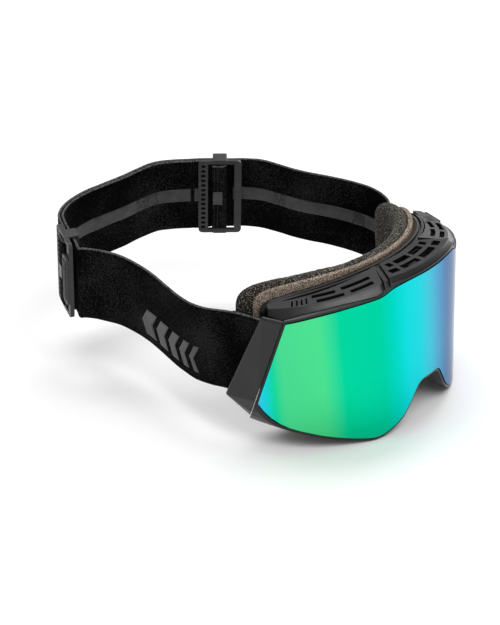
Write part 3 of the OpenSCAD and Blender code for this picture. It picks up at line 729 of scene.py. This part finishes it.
def foam_ring(name, node, outer, inner, r_near, r_deep, material, square, rough, around=44):
    """One foam layer: a rounded section swept round the plate's outline. Outer is its own
    outline, inner how far its hollow reaches from the plate's; radii are from the face's axis."""
    line, normal = plate_line()
    outer = reach_to(line, normal, outer)
    turn = np.linspace(0, 2 * np.pi, around, endpoint=False)
    c, s = np.cos(turn), np.sin(turn)
    u = np.sign(c) * np.abs(c) ** (2 / square)
    w = np.sign(s) * np.abs(s) ** (2 / square)
    reach = (outer - inner)[:, None] / 2 * u + (outer + inner)[:, None] / 2
    radius = (r_near - r_deep) / 2 * w + (r_near + r_deep) / 2
    flat = line[:, None] + reach[..., None] * normal[:, None]
    x = flat[..., 0] * radius / FACE_R
    y = FACE_CY - np.sqrt(np.maximum(radius[None, :] ** 2 - x ** 2, 1.0))
    points = np.stack([x, y, flat[..., 1]], -1)
    centre = np.stack([x.mean(1), y.mean(1), flat[..., 1].mean(1)], -1)[:, None]
    fuzz = noise3(points, 0.9, 5) + 0.6 * noise3(points, 2.3, 6) + 1.5 * noise3(points, 14.0, 7)
    points = points + unit(points - centre) * (fuzz * rough)[..., None]
    rows, columns = points.shape[:2]
    ring = piece(name, placed(points.reshape(-1, 3)), grid_faces(rows, columns, closed_rows=True),
                 material)
    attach(ring, "frame")
    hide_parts(node)


def face_foam():
    base = FACE_R - 3 * RIDGE_T
    middle = base - FOAM_BASE_T
    face = middle - FOAM_MIDDLE_T
    foam_ring("face_foam_base", "foam_base", PLATE_HALF, -PLATE_W + 0.1,
              base - FOAM_GAP, middle, MATERIAL["foam_base"], 9, 0.05)
    foam_ring("face_foam_middle", "foam_middle", MIDDLE_HALF, -PLATE_W - 0.9,
              middle - FOAM_GAP, face, MATERIAL["foam_middle"], 6, 0.12)
    foam_ring("face_foam_fleece", "foam_face", FLEECE_HALF, -PLATE_W - 1.8,
              face - FOAM_GAP, face - FLEECE_T, MATERIAL["fleece"], 3.0, 0.2)


face_foam()


def vent_blocks():
    """Open-cell blocks in the brow's vents, a little swollen and rough all over."""
    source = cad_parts["top_vent_foam"]
    blocks = bpy.data.objects.new("vent_foam_blocks", source.data.copy())
    bpy.context.scene.collection.objects.link(blocks)
    cells = blocks.modifiers.new("cells", "REMESH")
    cells.mode, cells.voxel_size = "VOXEL", 0.0006
    bpy.context.view_layer.update()
    shape = blocks.evaluated_get(bpy.context.evaluated_depsgraph_get()).to_mesh()
    points = np.array([v.co[:] for v in shape.vertices])
    normals = np.array([v.normal[:] for v in shape.vertices])
    faces = [tuple(f.vertices) for f in shape.polygons]
    bpy.data.objects.remove(blocks)
    pits = noise3(points / MM, 1.3, 11) + 0.7 * noise3(points / MM, 0.7, 12)
    points = points + normals * (0.12 * pits * MM - 0.05 * MM)[:, None]
    foam = piece("vent_foam", points, faces, MATERIAL["vent_foam"])
    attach(foam, "frame")
    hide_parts("top_vent_foam")


vent_blocks()


# ---------- camera, floor and light ----------
VIEW_AZIMUTH, VIEW_ELEVATION, VIEW_ROLL = -59.0, 28.44, 1.41
VIEW_DISTANCE = 1.5
AIM_RIGHT, AIM_UP = -0.0704, 0.0394     # where the view's middle lies, per unit of distance
FOCAL_LENGTH = 146.7


def make_camera():
    a, e, roll = (math.radians(v) for v in (VIEW_AZIMUTH, VIEW_ELEVATION, VIEW_ROLL))
    back = Vector((math.sin(a) * math.cos(e), -math.cos(a) * math.cos(e), math.sin(e)))
    right = Vector((math.cos(a), math.sin(a), 0))
    up = back.cross(right)
    right, up = (right * math.cos(roll) + up * math.sin(roll),
                 up * math.cos(roll) - right * math.sin(roll))
    data = bpy.data.cameras.new("camera")
    data.lens, data.sensor_width = FOCAL_LENGTH, 36.0
    data.clip_start, data.clip_end = 0.1, 50.0
    camera = bpy.data.objects.new("camera", data)
    lens_foot = Vector((0.0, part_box("outer_lens")[0].y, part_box("outer_lens")[0].z))
    forward = (-back + right * AIM_RIGHT + up * AIM_UP).normalized()
    side = forward.cross(up).normalized()
    turn = Matrix((side, side.cross(forward), -forward)).transposed().to_4x4()
    camera.matrix_world = Matrix.Translation(lens_foot + back * VIEW_DISTANCE) @ turn
    bpy.context.scene.collection.objects.link(camera)
    bpy.context.scene.camera = camera


def area_light(name, place, target, size, power):
    data = bpy.data.lights.new(name, "AREA")
    data.shape, data.energy = "RECTANGLE", power
    data.size, data.size_y = size
    light = bpy.data.objects.new(name, data)
    light.location = place
    light.rotation_euler = (Vector(target) - Vector(place)).to_track_quat("-Z", "Y").to_euler()
    bpy.context.scene.collection.objects.link(light)


FLOOR_HALF = 4


def make_stage():
    floor_z = cad_low.z - 0.001
    s = Surface("pale_floor", (0.86, 0.86, 0.86), 0.9, Specular_IOR_Level=0.1)
    corners = [(x * FLOOR_HALF, y * FLOOR_HALF, floor_z) for x, y in ((-1, -1), (1, -1), (1, 1), (-1, 1))]
    floor = piece("floor", corners, [(0, 1, 2, 3)], s.material)
    world = bpy.data.worlds.new("studio")
    bpy.context.scene.world = world
    world.use_nodes = True
    world.node_tree.nodes["Background"].inputs["Color"].default_value = (1, 1, 1, 1)
    world.node_tree.nodes["Background"].inputs["Strength"].default_value = 0.45
    middle = (0, 0.05, 0)
    area_light("key", (-0.5, -0.9, 1.3), middle, (1.0, 1.0), 17)
    area_light("top", (0.3, 0.5, 1.5), middle, (1.4, 0.8), 14)
    area_light("rim", (1.2, 0.2, 0.5), middle, (0.5, 0.9), 6)


make_camera()
make_stage()
bpy.context.scene.view_settings.view_transform = "Standard"
